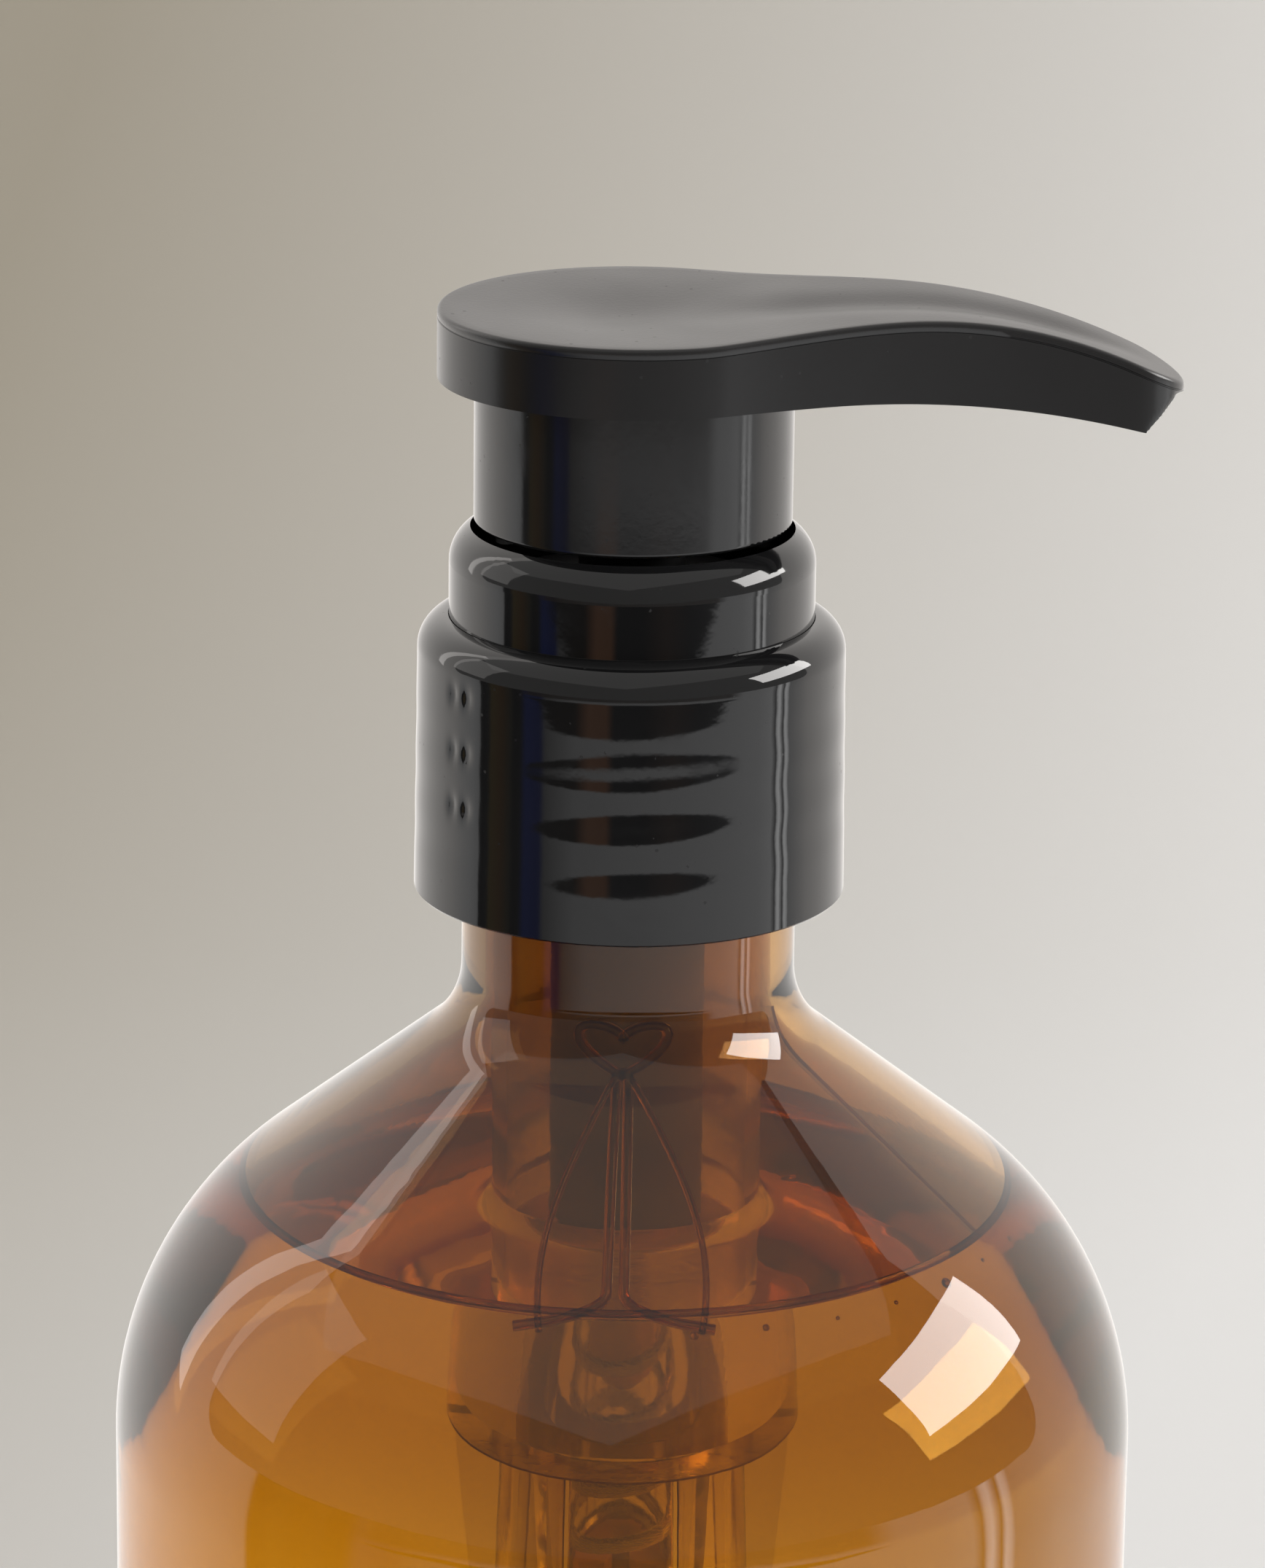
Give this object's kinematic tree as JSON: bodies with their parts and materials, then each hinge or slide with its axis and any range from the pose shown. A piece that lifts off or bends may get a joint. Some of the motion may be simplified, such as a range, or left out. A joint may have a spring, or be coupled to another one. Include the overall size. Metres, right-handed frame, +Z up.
{
  "type": "soap pump dispenser",
  "caption": "Round bottle with a straight neck and shoulders, closed by a screw-on lotion pump whose spring-loaded head and spout press down to dispense liquid soap.",
  "frame": {"origin": "on the bottle's axis, at the surface that the foot stands on", "axes": "+Z up along the bottle's axis, +X towards the spout's tip at rest, +Y away from the front"},
  "size_m": [0.0795, 0.078, 0.1873],
  "materials": {
    "bottle_wall": "clear amber, polished",
    "closure_black": "polished black",
    "head_black": "satin top, semi-gloss sides",
    "guide_black": "plain moulded black",
    "natural_plastic": "translucent natural",
    "seal_plastic": "soft milky white",
    "dip_plastic": "translucent tube",
    "gasket": "foamed liner",
    "spring_steel": "bright drawn wire and ball"
  },
  "bodies": {
    "bottle": {"bottle": "bottle_wall"},
    "pump_body": {"pump_housing": "natural_plastic", "neck_gasket": "gasket", "lock_collar": "closure_black", "stem_guide": "guide_black", "ball_cage": "seal_plastic", "dip_tube": "dip_plastic", "return_spring": "spring_steel"},
    "closure": {"closure_cap": "closure_black"},
    "rod": {"valve_rod": "natural_plastic"},
    "piston": {"piston": "seal_plastic"},
    "actuator": {"actuator_head": "head_black", "actuator_sleeve": "closure_black", "spout_tube": "guide_black", "pump_stem": "guide_black"},
    "inlet_ball": {"inlet_ball": "spring_steel"}
  },
  "joints": [
    {"name": "cap_rise", "type": "slide", "parent": "bottle", "child": "pump_body", "axis": [0, 0, 1], "range_m": [0, 0.00635]},
    {"name": "cap_turn", "type": "hinge", "parent": "pump_body", "child": "closure", "pos_m": [0, 0, 0.1428], "axis": [0, 0, 1], "range_deg": [0, 540]},
    {"name": "pump_stroke", "type": "slide", "parent": "pump_body", "child": "rod", "axis": [0, 0, -1], "range_m": [0, 0.009], "stiffness_N_per_m": 400, "springref_m": -0.0004, "deforming": ["return_spring"]},
    {"name": "head_swivel", "type": "hinge", "parent": "rod", "child": "actuator", "pos_m": [0, 0, 0.1814], "axis": [0, 0, 1], "continuous": true},
    {"name": "piston_lag", "type": "slide", "parent": "rod", "child": "piston", "axis": [0, 0, 1], "range_m": [0, 0.001]},
    {"name": "ball_lift", "type": "slide", "parent": "pump_body", "child": "inlet_ball", "axis": [0, 0, 1], "range_m": [0, 0.0015]}
  ],
  "couplings": [
    {"joint": "cap_turn", "follows": "cap_rise", "rad_per_m": 1484.3}
  ]
}
